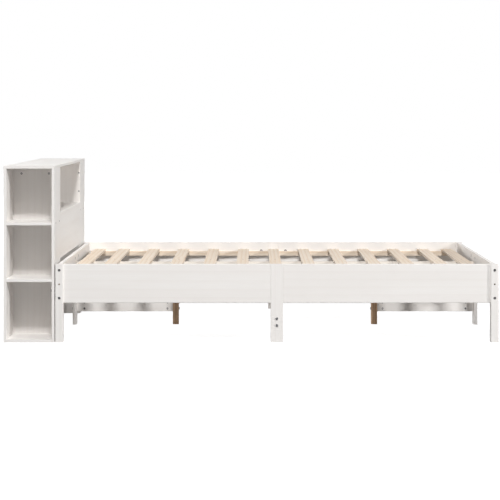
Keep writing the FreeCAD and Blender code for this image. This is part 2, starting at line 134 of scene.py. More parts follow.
# how far each pattern of the wood is squeezed along the grain, and where it starts
patternPlaces = {
    "knots": (0.5, (3.1, 1.7, 2.3)), "rings": (0.035, (0.21, 0.13, 0.37)),
    "fibres": (0.02, (0.0, 0.0, 0.0)), "tones": (0.12, (0.4, 0.9, 0.2))}


def stretchedPlace(tree, boardVector, grain, pattern, place):
    squeeze, shift = patternPlaces[pattern]
    scale = [1.0, 1.0, 1.0]
    scale["XYZ".index(grain)] = squeeze
    mapping = addNode(tree, "ShaderNodeMapping", place)
    setInput(mapping, "Scale", scale)
    setInput(mapping, "Location", shift)
    tree.links.new(boardVector, mapping.inputs["Vector"])
    return mapping.outputs["Vector"]


def mixColours(tree, factor, first, second, place):
    mix = addNode(tree, "ShaderNodeMix", place, data_type="RGBA")
    feed(tree, factor, mix.inputs[0])
    feed(tree, first, mix.inputs[6])
    feed(tree, second, mix.inputs[7])
    return mix.outputs[2]


def ranged(tree, value, fromLow, fromHigh, toLow, toHigh, place):
    remap = addNode(tree, "ShaderNodeMapRange", place, interpolation_type="SMOOTHSTEP")
    setInput(remap, "From Min", fromLow)
    setInput(remap, "From Max", fromHigh)
    setInput(remap, "To Min", toLow)
    setInput(remap, "To Max", toHigh)
    tree.links.new(value, remap.inputs["Value"])
    return remap.outputs["Result"]


def noise(tree, vector, numbers, place):
    made = addNode(tree, "ShaderNodeTexNoise", place)
    for name, value in numbers.items():
        setInput(made, name, value)
    tree.links.new(vector, made.inputs["Vector"])
    return made.outputs["Fac"]


def newMaterial(name):
    material = bpy.data.materials.new(name)
    material.use_nodes = True
    return material, material.node_tree


# what all the woods share; waveSpacing is the rings' spacing in a wave texture at a scale of 1
woodPattern = dict(
    knotCore=0.35, knotHalo=3.2, ringBend=9.0, ringRelief=1.4, edgeRadius=0.0012, reliefDepth=0.0008,
    waveSpacing=0.31)
ringNumbers = {"Distortion": 3.2, "Detail": 2.0, "Detail Scale": 0.35, "Detail Roughness": 0.55}
fibreNumbers = {"Scale": 420.0, "Detail": 5.0, "Roughness": 0.62}
toneNumbers = {"Scale": 9.0, "Detail": 3.0}


def knotPattern(tree, boardVector, grain, look):
    # a knot shows where a board's face passes the point of a cell, with a halo that bends the rings
    place = stretchedPlace(tree, boardVector, grain, "knots", (-2000, -500))
    cells = addNode(tree, "ShaderNodeTexVoronoi", (-1800, -500), feature="F1")
    setInput(cells, "Scale", 1 / look["knotSpacing"])
    setInput(cells, "Randomness", 1.0)
    tree.links.new(place, cells.inputs["Vector"])
    away = cells.outputs["Distance"]
    size = look["knotSize"] / look["knotSpacing"]
    core = ranged(tree, away, size * woodPattern["knotCore"], size, 1.0, 0.0, (-1600, -450))
    halo = ranged(tree, away, 0.0, size * woodPattern["knotHalo"], 1.0, 0.0, (-1600, -650))
    return core, halo


def ringPattern(tree, boardVector, grain, look, halo):
    place = stretchedPlace(tree, boardVector, grain, "rings", (-2000, 0))
    rings = addNode(tree, "ShaderNodeTexWave", (-1400, 50), wave_type="RINGS", rings_direction=grain,
                    wave_profile="SAW")
    setInput(rings, "Scale", woodPattern["waveSpacing"] / look["ringSpacing"])
    for name, value in ringNumbers.items():
        setInput(rings, name, value)
    tree.links.new(place, rings.inputs["Vector"])
    bend = maths(tree, "MULTIPLY", halo, woodPattern["ringBend"], (-1600, -850))
    tree.links.new(bend, rings.inputs["Phase Offset"])
    return rings.outputs["Fac"]


def easedEdges(tree, look, tones):
    # edges are rounded in the shading, and rubbed a little where the tone is dark
    eased = addNode(tree, "ShaderNodeBevel", (-1400, -1000), samples=4)
    setInput(eased, "Radius", woodPattern["edgeRadius"])
    flat = addNode(tree, "ShaderNodeNewGeometry", (-1400, -1200))
    bend = addNode(tree, "ShaderNodeVectorMath", (-1200, -1100), operation="DOT_PRODUCT")
    tree.links.new(eased.outputs["Normal"], bend.inputs[0])
    tree.links.new(flat.outputs["True Normal"], bend.inputs[1])
    edge = ranged(tree, bend.outputs["Value"], 0.75, 0.99, look["wornAmount"], 0.0, (-1000, -1100))
    patches = ranged(tree, tones, 0.42, 0.62, 0.15, 1.0, (-1000, -1300))
    return eased.outputs["Normal"], maths(tree, "MULTIPLY", edge, patches, (-800, -1100))


def woodMaterial(name, lookName, grain):
    look = woodLooks[lookName]
    material, tree = newMaterial(name)
    shader = tree.nodes["Principled BSDF"]
    boardVector = boardPlace(tree)
    core, halo = knotPattern(tree, boardVector, grain, look)
    rings = ringPattern(tree, boardVector, grain, look, halo)
    fibrePlace = stretchedPlace(tree, boardVector, grain, "fibres", (-2000, 400))
    fibres = noise(tree, fibrePlace, fibreNumbers, (-1800, 400))
    tonePlace = stretchedPlace(tree, boardVector, grain, "tones", (-2000, 700))
    tones = noise(tree, tonePlace, toneNumbers, (-1800, 700))
    easedNormal, rubbed = easedEdges(tree, look, tones)

    # from the broadest pattern to the smallest, with the rubbed edges over them all
    toneShare = ranged(tree, tones, 0.35, 0.7, 0.0, look["toneAmount"], (-1200, 700))
    fibreShare = ranged(tree, fibres, 0.38, 0.68, 0.0, look["fibreAmount"], (-1200, 400))
    ringShare = ranged(tree, rings, 0.45, 1.0, 0.0, look["lineAmount"], (-1200, 50))
    knotShare = maths(tree, "MULTIPLY", core, look["knotAmount"], (-1200, -450))
    colour = mixColours(tree, toneShare, look["base"], look["tone"], (-950, 500))
    colour = mixColours(tree, fibreShare, colour, look["fibre"], (-780, 450))
    colour = mixColours(tree, ringShare, colour, look["line"], (-610, 400))
    colour = mixColours(tree, knotShare, colour, look["knot"], (-440, 350))
    colour = mixColours(tree, rubbed, colour, look["worn"], (-270, 300))
    tree.links.new(colour, shader.inputs["Base Color"])
    rough = ranged(tree, fibres, 0.3, 0.7, look["roughLow"], look["roughHigh"], (-780, 0))
    tree.links.new(rough, shader.inputs["Roughness"])

    # the late wood and the pores lie a little lower
    ringDepth = maths(tree, "MULTIPLY", ringShare, woodPattern["ringRelief"], (-950, -150))
    depth = maths(tree, "ADD", fibreShare, ringDepth, (-780, -200))
    bump = addNode(tree, "ShaderNodeBump", (-440, -200), invert=True)
    setInput(bump, "Strength", look["bump"])
    setInput(bump, "Distance", woodPattern["reliefDepth"])
    tree.links.new(depth, bump.inputs["Height"])
    tree.links.new(easedNormal, bump.inputs["Normal"])
    tree.links.new(bump.outputs["Normal"], shader.inputs["Normal"])
    if look["coat"]:
        setInput(shader, "Coat Weight", look["coat"])
        setInput(shader, "Coat Roughness", 0.35)
    setInput(shader, "Specular IOR Level", 0.35)
    return material


# the steel's colour is dark: partly its own, partly painted shade that stands in for the shade of the holes
# the bolts sit in; the dull spots are the plating's own
zincPaintedShadeLook = dict(colour=linear(112, 112, 114), dullShare=0.62, roughLow=0.34, roughHigh=0.52)
zincSpots = {"Scale": 900.0, "Detail": 4.0}


def steelMaterial(name, look):
    material, tree = newMaterial(name)
    shader = tree.nodes["Principled BSDF"]
    texCoord = addNode(tree, "ShaderNodeTexCoord", (-1200, 0))
    spots = noise(tree, texCoord.outputs["Object"], zincSpots, (-1000, 0))
    shade = ranged(tree, spots, 0.35, 0.7, 0.0, 0.5, (-800, 100))
    dull = tuple(look["dullShare"] * channel for channel in look["colour"][:3]) + (1.0,)
    tree.links.new(mixColours(tree, shade, look["colour"], dull, (-600, 100)), shader.inputs["Base Color"])
    rough = ranged(tree, spots, 0.3, 0.7, look["roughLow"], look["roughHigh"], (-800, -100))
    tree.links.new(rough, shader.inputs["Roughness"])
    setInput(shader, "Metallic", 1.0)
    return material


paint = {grain: woodMaterial("whitePaint" + grain, "white paint", grain) for grain in "XYZ"}
pine = {grain: woodMaterial("barePine" + grain, "bare pine", grain) for grain in "XY"}
# the beam's pine is a paler copy of the bare pine: painted light that lifts the beam in the shade under the
# slats
paintedLightPine = woodMaterial("paintedLightPine", "pine with painted light", "X")
# the foot's centre leg takes the lighter copy of the darkened pine, painted light making up for the shade it
# falls in
darkPine = {"head_centre_leg": woodMaterial("darkenedPine", "darkened pine", "Z"),
            "foot_centre_leg": woodMaterial("darkenedPineWithPaintedLight", "darkened pine with painted light", "Z")}
beech = woodMaterial("dowelBeech", "dowel beech", "Y")
zinc = steelMaterial("zincSteelWithPaintedShade", zincPaintedShadeLook)
print("materials made")


def finishNode(name, material):
    mesh = node(name).data
    mesh.materials.clear()
    mesh.materials.append(material)


def grainOf(name):
    low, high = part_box(name)
    extent = [high[i] - low[i] for i in range(3)]
    return "XYZ"[extent.index(max(extent))]


# the pieces that aren't plain boards, then the bare boards, and paint on all the others
ownFinish = {
    "frame_bolts": zinc, "bookcase_bolts": zinc, "barrel_nuts": zinc, "bookcase_spacers": zinc,
    "corner_dowels": beech, "centre_beam": paintedLightPine, **darkPine}
for name in nodes:
    bare = name.startswith("slat_") or name.endswith("_cleat")
    finishNode(name, ownFinish.get(name) or (pine if bare else paint)[grainOf(name)])
print("nodes finished")


def cylinder(tree, sides, radius, depth, place):
    made = addNode(tree, "GeometryNodeMeshCylinder", place, fill_type="NGON")
    made.inputs["Vertices"].default_value = sides
    feed(tree, radius, made.inputs["Radius"])
    feed(tree, depth, made.inputs["Depth"])
    return made.outputs["Mesh"]


def raised(tree, shape, height, place):
    rise = addNode(tree, "ShaderNodeCombineXYZ", (place[0], place[1] - 200))
    feed(tree, height, rise.inputs["Z"])
    moved = addNode(tree, "GeometryNodeTransform", place)
    tree.links.new(shape, moved.inputs["Geometry"])
    tree.links.new(rise.outputs[0], moved.inputs["Translation"])
    return moved.outputs["Geometry"]


def cutFrom(tree, shape, cutter, place):
    cut = addNode(tree, "GeometryNodeMeshBoolean", place, operation="DIFFERENCE", solver="EXACT")
    tree.links.new(shape, cut.inputs["Mesh 1"])
    tree.links.new(cutter, cut.inputs["Mesh 2"])
    return cut.outputs["Mesh"]


def commonTo(tree, shapes, place):
    cut = addNode(tree, "GeometryNodeMeshBoolean", place, operation="INTERSECT", solver="EXACT")
    for shape in shapes:
        tree.links.new(shape, cut.inputs["Mesh 2"])
    return cut.outputs["Mesh"]


def joined(tree, shapes, place):
    join = addNode(tree, "GeometryNodeJoinGeometry", place)
    for shape in shapes:
        tree.links.new(shape, join.inputs["Geometry"])
    return join.outputs["Geometry"]


def roundHead(tree, given, turns):
    # a low round head whose top is at its own origin, with a slot for each turn
    radius, height = given.outputs["Head Radius"], given.outputs["Head Height"]
    shape = raised(tree, cylinder(tree, 28, radius, height, (-1600, 300)),
                   maths(tree, "MULTIPLY", height, -0.5, (-1600, 100)), (-1400, 300))
    for turn in turns:
        down = -300 * turn
        cutSize = addNode(tree, "ShaderNodeCombineXYZ", (-1600, -100 + down))
        tree.links.new(given.outputs["Recess Length"], cutSize.inputs[turn])
        tree.links.new(given.outputs["Recess Width"], cutSize.inputs[1 - turn])
        tree.links.new(maths(tree, "MULTIPLY", given.outputs["Recess Depth"], 2.0, (-1800, -100 + down)),
                       cutSize.inputs[2])
        cutter = addNode(tree, "GeometryNodeMeshCube", (-1400, -100 + down))
        tree.links.new(cutSize.outputs[0], cutter.inputs["Size"])
        shape = cutFrom(tree, shape, cutter.outputs["Mesh"], (-1000 + 180 * turn, 300))
    return shape


def crossHead(tree, given):
    return roundHead(tree, given, (0, 1))


def slottedHead(tree, given):
    return roundHead(tree, given, (0,))


def hexHead(tree, given):
    # seated at its own origin, the corners of its top turned off by a cone
    across, height = given.outputs["Across Flats"], given.outputs["Head Height"]
    crownShare, crownSlope = 0.47, 1.7
    prism = cylinder(tree, 6, maths(tree, "DIVIDE", across, 3 ** 0.5, (-1800, 300)), height, (-1600, 300))
    prism = raised(tree, prism, maths(tree, "MULTIPLY", height, 0.5, (-1600, 100)), (-1400, 300))
    turned = addNode(tree, "GeometryNodeMeshCone", (-1400, 0))
    turned.inputs["Vertices"].default_value = 48
    topRadius = maths(tree, "MULTIPLY", across, crownShare, (-1800, 0))
    spread = maths(tree, "MULTIPLY", height, crownSlope, (-1800, -200))
    feed(tree, topRadius, turned.inputs["Radius Top"])
    feed(tree, maths(tree, "ADD", topRadius, spread, (-1600, -100)), turned.inputs["Radius Bottom"])
    feed(tree, height, turned.inputs["Depth"])
    return commonTo(tree, (prism, turned.outputs["Mesh"]), (-1100, 200))


def threadRings(tree, pitch, place):
    # the offset of a thread's surface, drawn in towards the axis between two ridges
    drawnShare = 0.045
    position = addNode(tree, "GeometryNodeInputPosition", place)
    parts = addNode(tree, "ShaderNodeSeparateXYZ", (place[0] + 150, place[1]))
    tree.links.new(position.outputs[0], parts.inputs[0])
    turns = maths(tree, "DIVIDE", parts.outputs["Z"], pitch, (place[0] + 300, place[1] - 100))
    angle = maths(tree, "MULTIPLY", turns, tau, (place[0] + 400, place[1] - 100))
    wave = maths(tree, "COSINE", angle, 0.0, (place[0] + 500, place[1] - 100))
    depth = maths(tree, "SUBTRACT", wave, 1.0, (place[0] + 600, place[1] - 100))
    drawn = maths(tree, "MULTIPLY", depth, drawnShare, (place[0] + 700, place[1] - 100))
    outwards = addNode(tree, "ShaderNodeCombineXYZ", (place[0] + 400, place[1] + 100))
    tree.links.new(parts.outputs["X"], outwards.inputs["X"])
    tree.links.new(parts.outputs["Y"], outwards.inputs["Y"])
    offset = addNode(tree, "ShaderNodeVectorMath", (place[0] + 800, place[1] + 100), operation="SCALE")
    tree.links.new(outwards.outputs[0], offset.inputs[0])
    tree.links.new(drawn, offset.inputs["Scale"])
    return offset.outputs[0]


def threadedBolt(tree, given):
    # its head is seated at its own origin, with the shank below
    length, threadLength = given.outputs["Shank Length"], given.outputs["Thread Length"]
    radius, pitch = given.outputs["Shank Radius"], given.outputs["Thread Pitch"]
    plainLength = maths(tree, "SUBTRACT", length, threadLength, (-1900, -500))
    plain = raised(tree, cylinder(tree, 24, radius, plainLength, (-1600, -500)),
                   maths(tree, "MULTIPLY", plainLength, -0.5, (-1600, -700)), (-1400, -500))
    threaded = addNode(tree, "GeometryNodeMeshCylinder", (-1600, -900), fill_type="NGON")
    threaded.inputs["Vertices"].default_value = 24
    feed(tree, radius, threaded.inputs["Radius"])
    feed(tree, threadLength, threaded.inputs["Depth"])
    turns = maths(tree, "DIVIDE", threadLength, pitch, (-2000, -1000))
    feed(tree, maths(tree, "MULTIPLY", turns, 2.0, (-1800, -1000)), threaded.inputs["Side Segments"])
    ringed = addNode(tree, "GeometryNodeSetPosition", (-1300, -900))
    tree.links.new(threaded.outputs["Mesh"], ringed.inputs["Geometry"])
    tree.links.new(threadRings(tree, pitch, (-2000, -1300)), ringed.inputs["Offset"])
    halfThread = maths(tree, "MULTIPLY", threadLength, 0.5, (-1300, -1100))
    drop = maths(tree, "SUBTRACT", halfThread, length, (-1200, -1100))
    thread = raised(tree, ringed.outputs["Geometry"], drop, (-1100, -900))
    return joined(tree, (hexHead(tree, given), plain, thread), (-800, 0))


def slottedBarrel(tree, given):
    # lies along its own Z with its middle at its origin, the upper end eased and slotted
    radius, length = given.outputs["Barrel Radius"], given.outputs["Barrel Length"]
    endShare = 0.9
    barrel = cylinder(tree, 32, radius, length, (-1600, 300))
    cone = addNode(tree, "GeometryNodeMeshCone", (-1400, 0))
    cone.inputs["Vertices"].default_value = 32
    feed(tree, maths(tree, "MULTIPLY", radius, endShare, (-1600, 0)), cone.inputs["Radius Top"])
    width = maths(tree, "MULTIPLY", radius, 2.0, (-1800, 0))
    feed(tree, maths(tree, "ADD", width, length, (-1600, -100)), cone.inputs["Radius Bottom"])
    feed(tree, length, cone.inputs["Depth"])
    low = maths(tree, "MULTIPLY", length, -0.5, (-1400, -200))
    eased = commonTo(tree, (barrel, raised(tree, cone.outputs["Mesh"], low, (-1200, 0))), (-1000, 200))
    cutSize = addNode(tree, "ShaderNodeCombineXYZ", (-1600, -500))
    feed(tree, maths(tree, "MULTIPLY", radius, 3.0, (-1800, -500)), cutSize.inputs["X"])
    feed(tree, given.outputs["Slot Width"], cutSize.inputs["Y"])
    feed(tree, maths(tree, "MULTIPLY", given.outputs["Slot Depth"], 2.0, (-1800, -600)), cutSize.inputs["Z"])
    cutter = addNode(tree, "GeometryNodeMeshCube", (-1400, -500))
    tree.links.new(cutSize.outputs[0], cutter.inputs["Size"])
    end = maths(tree, "MULTIPLY", length, 0.5, (-1400, -700))
    return cutFrom(tree, eased, raised(tree, cutter.outputs["Mesh"], end, (-1200, -500)), (-800, 200))


def flutedPeg(tree, given):
    # its outer end lies at its own origin
    radius, length = given.outputs["Peg Radius"], given.outputs["Peg Length"]
    flutes, fluteShare = 20, 0.93
    star = addNode(tree, "GeometryNodeCurveStar", (-1600, 300))
    star.inputs["Points"].default_value = flutes
    feed(tree, radius, star.inputs["Outer Radius"])
    feed(tree, maths(tree, "MULTIPLY", radius, fluteShare, (-1800, 300)), star.inputs["Inner Radius"])
    line = addNode(tree, "GeometryNodeCurvePrimitiveLine", (-1600, 0))
    innerEnd = addNode(tree, "ShaderNodeCombineXYZ", (-1800, 0))
    feed(tree, maths(tree, "MULTIPLY", length, -1.0, (-2000, 0)), innerEnd.inputs["Z"])
    tree.links.new(innerEnd.outputs[0], line.inputs["End"])
    swept = addNode(tree, "GeometryNodeCurveToMesh", (-1300, 200))
    tree.links.new(line.outputs["Curve"], swept.inputs["Curve"])
    tree.links.new(star.outputs["Curve"], swept.inputs["Profile Curve"])
    swept.inputs["Fill Caps"].default_value = True
    return swept.outputs["Mesh"]


def spacerRing(tree, given):
    height = given.outputs["Ring Height"]
    ring = cylinder(tree, 48, given.outputs["Ring Radius"], height, (-1600, 300))
    through = maths(tree, "MULTIPLY", height, 2.0, (-1800, 0))
    hole = cylinder(tree, 32, given.outputs["Hole Radius"], through, (-1600, 0))
    return cutFrom(tree, ring, hole, (-1200, 200))


def copiesTree(name, inputNames, makeShape, material):
    # one shape on every point, its own Z turned to the point's facing
    tree = bpy.data.node_groups.new(name, "GeometryNodeTree")
    tree.interface.new_socket(name="Geometry", in_out="INPUT", socket_type="NodeSocketGeometry")
    for label in inputNames:
        tree.interface.new_socket(name=label, in_out="INPUT", socket_type="NodeSocketFloat")
    tree.interface.new_socket(name="Geometry", in_out="OUTPUT", socket_type="NodeSocketGeometry")
    given = addNode(tree, "NodeGroupInput", (-2300, 0))
    result = addNode(tree, "NodeGroupOutput", (900, 0))
    shape = makeShape(tree, given)
    facing = addNode(tree, "GeometryNodeInputNamedAttribute", (-400, -200), data_type="FLOAT_VECTOR")
    facing.inputs["Name"].default_value = "facing"
    turned = addNode(tree, "FunctionNodeAlignRotationToVector", (-200, -200), axis="Z")
    tree.links.new(facing.outputs["Attribute"], turned.inputs["Vector"])
    copies = addNode(tree, "GeometryNodeInstanceOnPoints", (0, 0))
    tree.links.new(given.outputs["Geometry"], copies.inputs["Points"])
    tree.links.new(shape, copies.inputs["Instance"])
    tree.links.new(turned.outputs["Rotation"], copies.inputs["Rotation"])
    realized = addNode(tree, "GeometryNodeRealizeInstances", (250, 0))
    tree.links.new(copies.outputs["Instances"], realized.inputs["Geometry"])
    painted = addNode(tree, "GeometryNodeSetMaterial", (500, 0))
    painted.inputs["Material"].default_value = material
    tree.links.new(realized.outputs["Geometry"], painted.inputs["Geometry"])
    tree.links.new(painted.outputs["Geometry"], result.inputs["Geometry"])
    return tree


def placeCopies(name, tree, values, seats):
    # seats: (point, direction in which the head looks)
    points = bpy.data.meshes.new(name + "Points")
    points.from_pydata([tuple(point) for point, _ in seats], [], [])
    facing = points.attributes.new("facing", "FLOAT_VECTOR", "POINT")
    for index, (_, direction) in enumerate(seats):
        facing.data[index].vector = direction
    holder = bpy.data.objects.new(name + "Holder", points)
    bpy.context.collection.objects.link(holder)
    modifier = holder.modifiers.new("copies", "NODES")
    modifier.node_group = tree
    for item in tree.interface.items_tree:
        if item.in_out == "INPUT" and item.name in values:
            modifier[item.identifier] = values[item.name]
    depsgraph = bpy.context.evaluated_depsgraph_get()
    mesh = bpy.data.meshes.new_from_object(holder.evaluated_get(depsgraph))
    holder.modifiers.clear()
    bpy.data.objects.remove(holder)
    mesh.name = name
    piece = bpy.data.objects.new(name, mesh)
    bpy.context.collection.objects.link(piece)
    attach(piece, "root")
    print(name, "placed,", len(seats), "copies")
    return piece


def onFace(axis, sign, face, u, v):
    # a seat on a face across an axis, looking the way of the sign
    point = [u, v]
    point.insert(axis, face)
    direction = [0, 0, 0]
    direction[axis] = sign
    return Vector(point), Vector(direction)


def spanOf(name, axis):
    low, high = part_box(name)
    return low[axis], high[axis]


def middleOf(name, axis):
    return sum(spanOf(name, axis)) / 2


def faceOf(name, axis, sign):
    return spanOf(name, axis)[1 if sign > 0 else 0]


def solidsOf(name):
    # the separate solids of a node, each as the list of its corners
    owner = node(name)
    corners = [tuple(round(value, 5) for value in owner.matrix_world @ vertex.co)
               for vertex in owner.data.vertices]
    leader = {corner: corner for corner in corners}

    def leaderOf(corner):
        while leader[corner] != corner:
            corner = leader[corner]
        return corner

    for polygon in owner.data.polygons:
        first = leaderOf(corners[polygon.vertices[0]])
        for index in polygon.vertices[1:]:
            leader[leaderOf(corners[index])] = first
    groups = {}
    for corner in leader:
        groups.setdefault(leaderOf(corner), []).append(corner)
    return [groups[key] for key in sorted(groups)]


def spansAlong(solid):
    return [(min(values), max(values)) for values in zip(*solid)]


def longAxis(solid):
    lengths = [high - low for low, high in spansAlong(solid)]
    return lengths.index(max(lengths))


def middlePoint(solid):
    return [(low + high) / 2 for low, high in spansAlong(solid)]


bedMiddle = (middleOf("left_middle_leg", 0), 0, 0)


def awayFromMiddle(point, axis):
    return 1 if point[axis] > bedMiddle[axis] else -1


headNames = ("Head Radius", "Head Height", "Recess Length", "Recess Width", "Recess Depth")
boltNames = ("Across Flats", "Head Height", "Shank Radius", "Shank Length", "Thread Length", "Thread Pitch")
barrelNames = ("Barrel Radius", "Barrel Length", "Slot Width", "Slot Depth")
crossHeads = copiesTree("crossHeads", headNames, crossHead, zinc)
slottedHeads = copiesTree("slottedHeads", headNames, slottedHead, zinc)
hexHeads = copiesTree("hexHeads", boltNames[:2], hexHead, zinc)
threadedBolts = copiesTree("threadedBolts", boltNames, threadedBolt, zinc)
barrels = copiesTree("slottedBarrels", barrelNames, slottedBarrel, zinc)
pegs = copiesTree("flutedPegs", ("Peg Radius", "Peg Length"), flutedPeg, beech)
rings = copiesTree("spacerRings", ("Ring Radius", "Ring Height", "Hole Radius"), spacerRing, zinc)

# the CAD fasteners again, round and in detail, each on the place of its own solid
boltLook = {
    "Across Flats": 0.011, "Head Height": 0.004, "Shank Radius": 0.003, "Thread Length": 0.022,
    "Thread Pitch": 0.001}
boltLengths = {"frame_bolts": 0.052, "bookcase_bolts": 0.081}

for name, length in boltLengths.items():
    seats = []
    for solid in solidsOf(name):
        axis = longAxis(solid)
        middle = middlePoint(solid)
        sign = -1 if name == "bookcase_bolts" else awayFromMiddle(middle, axis)
        seat = middle[axis] + sign * (length - boltLook["Head Height"]) / 2
        u, v = [middle[other] for other in range(3) if other != axis]
        seats.append(onFace(axis, sign, seat, u, v))
    values = {**boltLook, "Shank Length": length}
    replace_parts(placeCopies(name + "_detailed", threadedBolts, values, seats), name)

nutLook = {"Barrel Radius": 0.005, "Barrel Length": 0.014, "Slot Width": 0.0016, "Slot Depth": 0.0015}

seats = []
for solid in solidsOf("barrel_nuts"):
    axis = longAxis(solid)
    middle = middlePoint(solid)
    inRail = middle[2] > spanOf("left_rail_head", 2)[0]
    direction = [0, 0, 0]
    direction[axis] = -awayFromMiddle(middle, axis) if inRail else -1
    seats.append((Vector(middle), Vector(direction)))
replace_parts(placeCopies("barrel_nuts_detailed", barrels, nutLook, seats), "barrel_nuts")

pegLook = {"Peg Radius": 0.004, "Peg Length": 0.060}

seats = []
for solid in solidsOf("corner_dowels"):
    middle = middlePoint(solid)
    sign = awayFromMiddle(middle, 1)
    seats.append(onFace(1, sign, middle[1] + sign * pegLook["Peg Length"] / 2, middle[0], middle[2]))
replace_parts(placeCopies("corner_dowels_detailed", pegs, pegLook, seats), "corner_dowels")

ringLook = {"Ring Radius": 0.008, "Ring Height": 0.004, "Hole Radius": 0.00325}

seats = [(Vector(middlePoint(solid)), Vector((1, 0, 0))) for solid in solidsOf("bookcase_spacers")]
piece = placeCopies("bookcase_spacers_detailed", rings, ringLook, seats)
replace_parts(piece, "bookcase_spacers")

# screws through the slats into cleats and beam
slatScrews = dict(fromEnd=0.0075, fromMiddle=0.015, proud=0.0002)
slatScrewHead = {
    "Head Radius": 0.0036, "Head Height": 0.0016, "Recess Length": 0.0042, "Recess Width": 0.0011,
    "Recess Depth": 0.0011}

seats = []
for name in sorted(nodes):
    if not name.startswith("slat_"):
        continue
    top = faceOf(name, 2, 1) + slatScrews["proud"]
    middle = middleOf(name, 0)
    for side in (-1, 1):
        y = faceOf(name, 1, side) - side * slatScrews["fromEnd"]
        for shift in (-slatScrews["fromMiddle"], slatScrews["fromMiddle"]):
            seats.append(onFace(2, 1, top, middle + shift, y))
    seats.append(onFace(2, 1, top, middle, 0))
placeCopies("slat_screws", crossHeads, slatScrewHead, seats)

bookcaseScrews = dict(
    nearOpenEnd=0.057, nearDivider=0.190, fromFront=0.0065, fromPanelEdge=0.04, proud=0.0002,
    dividerLevels=(0.747, 0.649, 0.430, 0.250, 0.080), nicheLevel=0.5)
bookcaseScrewHead = {
    "Head Radius": 0.0042, "Head Height": 0.0018, "Recess Length": 0.0048, "Recess Width": 0.0012,
    "Recess Depth": 0.0013}

seats = []
proud = bookcaseScrews["proud"]
for side, tower in ((-1, "left_tower_"), (1, "right_tower_")):
    frontFace = faceOf(tower + "front_board", 0, 1)
    backFace = faceOf(tower + "back_board", 0, -1)
    openEnd = faceOf(tower + "front_board", 1, side)
    for shelf in ("bottom_board", "lower_shelf", "upper_shelf"):
        level = middleOf(tower + shelf, 2)
        for inset in (bookcaseScrews["nearOpenEnd"], bookcaseScrews["nearDivider"]):
            y = openEnd - side * inset
            seats.append(onFace(0, 1, frontFace + proud, y, level))
            seats.append(onFace(0, -1, backFace - proud, y, level))
    nicheSide = faceOf(tower + "divider", 1, -side) - side * proud
    for level in bookcaseScrews["dividerLevels"]:
        seats.append(onFace(1, -side, nicheSide, frontFace - bookcaseScrews["fromFront"], level))
        if level < bookcaseScrews["nicheLevel"]:
            seats.append(onFace(1, -side, nicheSide, backFace + bookcaseScrews["fromFront"], level))
placeCopies("bookcase_screws", crossHeads, bookcaseScrewHead, seats)

dividerCams = dict(level=0.775, inset=0.052, proud=0.0001)
dividerCamHead = {
    "Head Radius": 0.005, "Head Height": 0.002, "Recess Length": 0.007, "Recess Width": 0.0016,
    "Recess Depth": 0.0014}

seats = []
for side, divider in ((-1, "left_tower_divider"), (1, "right_tower_divider")):
    cubbySide = faceOf(divider, 1, side) + side * dividerCams["proud"]
    for end in (-1, 1):
        x = faceOf(divider, 0, end) - end * dividerCams["inset"]
        seats.append(onFace(1, side, cubbySide, x, dividerCams["level"]))
placeCopies("divider_cams", slottedHeads, dividerCamHead, seats)

railCams = dict(setback=0.037, sideDrop=0.047, endDrop=0.024, lowRise=0.030, proud=0.0001)
railCamHead = {
    "Head Radius": 0.0074, "Head Height": 0.002, "Recess Length": 0.010, "Recess Width": 0.0018,
    "Recess Depth": 0.0014}

seats = []
for side, sideName in ((-1, "left"), (1, "right")):
    for end, endName in ((-1, "head"), (1, "foot")):
        rail = f"{sideName}_rail_{endName}"
        low, high = spanOf(rail, 2)
        inner = faceOf(rail, 1, -side) - side * railCams["proud"]
        x = faceOf(rail, 0, -end) + end * railCams["setback"]
        for level in (high - railCams["sideDrop"], low + railCams["lowRise"]):
            seats.append(onFace(1, -side, inner, x, level))
        rail = f"{endName}_rail_{sideName}"
        inner = faceOf(rail, 0, -end) - end * railCams["proud"]
        y = faceOf(rail, 1, -side) + side * railCams["setback"]
        for level in (high - railCams["endDrop"], low + railCams["lowRise"]):
            seats.append(onFace(0, -end, inner, y, level))
placeCopies("rail_cams", slottedHeads, railCamHead, seats)

# the second bolt at every stretcher end, and both at the centre legs, with the nuts' slotted ends
stretcherJoints = dict(
    lowLevel=0.0785, highLevel=0.1095, legSetback=0.0392, centreSetback=0.0272, proud=0.0001)
stretcherNutHead = {
    "Head Radius": 0.005, "Head Height": 0.002, "Recess Length": 0.012, "Recess Width": 0.0016,
    "Recess Depth": 0.0014}

heads = []
ends = []
levels = (stretcherJoints["lowLevel"], stretcherJoints["highLevel"])
proud = stretcherJoints["proud"]
for side, sideName in ((-1, "left"), (1, "right")):
    leg = f"{sideName}_middle_leg"
    heads.append(onFace(1, side, faceOf(leg, 1, side), middleOf(leg, 0), levels[1]))
    y = faceOf("cross_stretcher", 1, side) - side * stretcherJoints["legSetback"]
    ends.append(onFace(0, -1, faceOf("cross_stretcher", 0, -1) - proud, y, levels[1]))
for end, endName in ((-1, "head"), (1, "foot")):
    leg, centreLeg, stretcher = (endName + part for part in ("_middle_leg", "_centre_leg", "_stretcher"))
    heads.append(onFace(0, end, faceOf(leg, 0, end), 0, levels[1]))
    near = faceOf(stretcher, 1, -1) - proud
    x = faceOf(stretcher, 0, end) - end * stretcherJoints["legSetback"]
    ends.append(onFace(1, -1, near, x, levels[1]))
    x = faceOf(stretcher, 0, -end) + end * stretcherJoints["centreSetback"]
    for level in levels:
        heads.append(onFace(0, -end, faceOf(centreLeg, 0, -end), 0, level))
        ends.append(onFace(1, -1, near, x, level))
placeCopies("stretcher_bolt_heads", hexHeads, boltLook, heads)
placeCopies("stretcher_nut_ends", slottedHeads, stretcherNutHead, ends)


floorLook = dict(
    size=40.0, drop=0.0004, bounce=0.38, shadowCatch=0.30, glow=0.93, farGlow=1.02, near=2.5, far=6.5)


def grey(value):
    return (value, value, value, 1.0)


